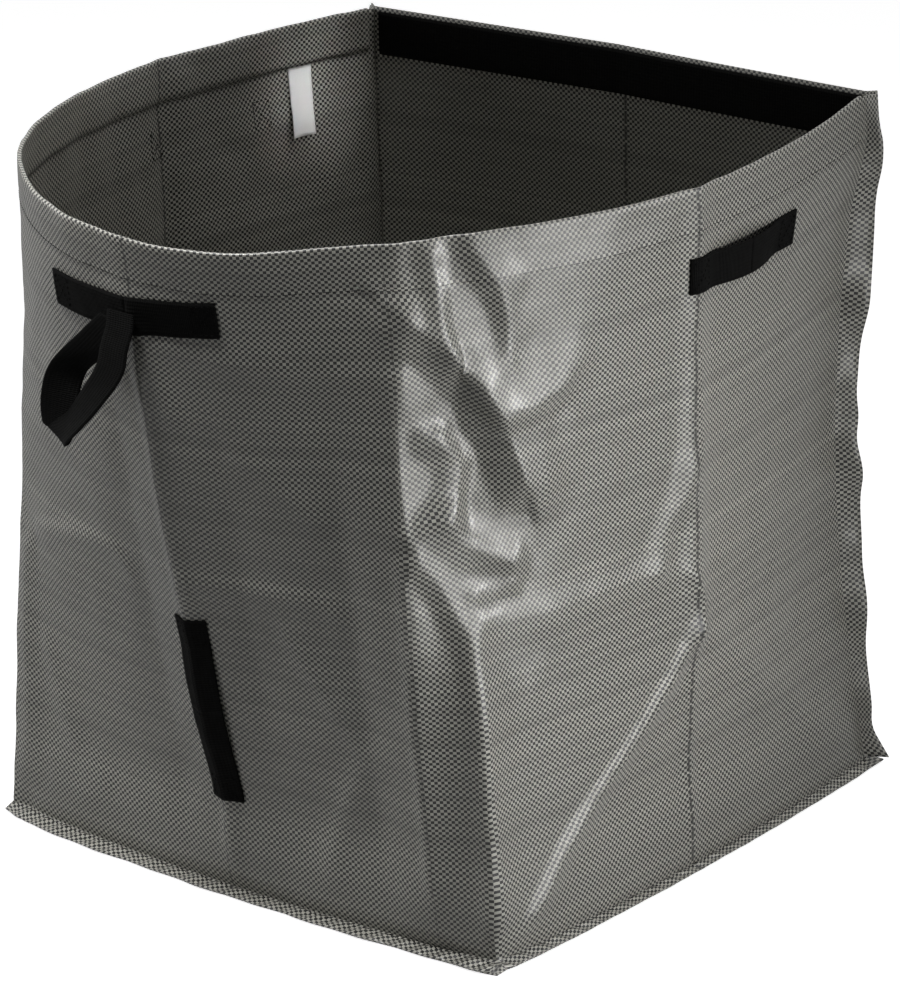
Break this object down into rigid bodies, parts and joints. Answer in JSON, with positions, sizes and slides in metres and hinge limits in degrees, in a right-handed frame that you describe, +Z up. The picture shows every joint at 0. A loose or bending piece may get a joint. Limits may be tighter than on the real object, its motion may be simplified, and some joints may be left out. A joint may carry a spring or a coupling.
{
  "type": "garden waste bag",
  "caption": "Standing sack of woven cloth on a square base, with a D-shaped rim sprung open by a strip in its hem, two side handles, a long pull handle and a low tipping handle",
  "frame": {"origin": "on the ground, at the middle of the square base's underside", "axes": "+Z up, +Y towards the flat rear wall, -Y towards the bowed front wall with the pull handle, +X to the bag's right side wall"},
  "size_m": [0.5662, 0.651, 0.59],
  "materials": {
    "woven_cloth": "plain weave of black and pale grey tapes, laminated, with a soft sheen",
    "webbing": "ribbed black webbing, matt",
    "springy_strip": "smooth, pale grey-green",
    "label": "plain white woven tape"
  },
  "bodies": {
    "bag": {"wrap_cloth": "woven_cloth", "rear_cloth": "woven_cloth", "base_cloth": "woven_cloth", "rim_strip": "springy_strip", "rear_band": "webbing", "sewn_label": "label", "right_handle_rear_tab": "webbing", "right_handle_front_tab": "webbing", "left_handle_rear_tab": "webbing", "left_handle_front_tab": "webbing", "pull_handle_left_run": "webbing", "pull_handle_right_run": "webbing", "tipping_handle_lower_tab": "webbing", "tipping_handle_upper_tab": "webbing"},
    "right_strap": {"right_handle_strap": "webbing"},
    "left_strap": {"left_handle_strap": "webbing"},
    "pull_loop": {"pull_handle_loop": "webbing"},
    "tipping_strap": {"tipping_handle_strap": "webbing"}
  },
  "joints": [
    {"name": "right_handle_lift", "type": "hinge", "parent": "bag", "child": "right_strap", "pos_m": [0.26627, 0.03943, 0.53294], "axis": [0.052, -0.9986, 0], "range_deg": [0, 75]},
    {"name": "left_handle_lift", "type": "hinge", "parent": "bag", "child": "left_strap", "pos_m": [-0.26686, 0.0295, 0.53294], "axis": [0.0472, 0.9989, 0], "range_deg": [0, 75]},
    {"name": "pull_loop_swing", "type": "hinge", "parent": "bag", "child": "pull_loop", "pos_m": [-0.01, -0.3769, 0.516], "axis": [-0.8746, 0, 0.4848], "range_deg": [0, 120]},
    {"name": "tipping_handle_lift", "type": "hinge", "parent": "bag", "child": "tipping_strap", "pos_m": [-0.00994, -0.29697, 0.16176], "axis": [0.0008, 0.262, -0.9651], "range_deg": [0, 60]}
  ]
}
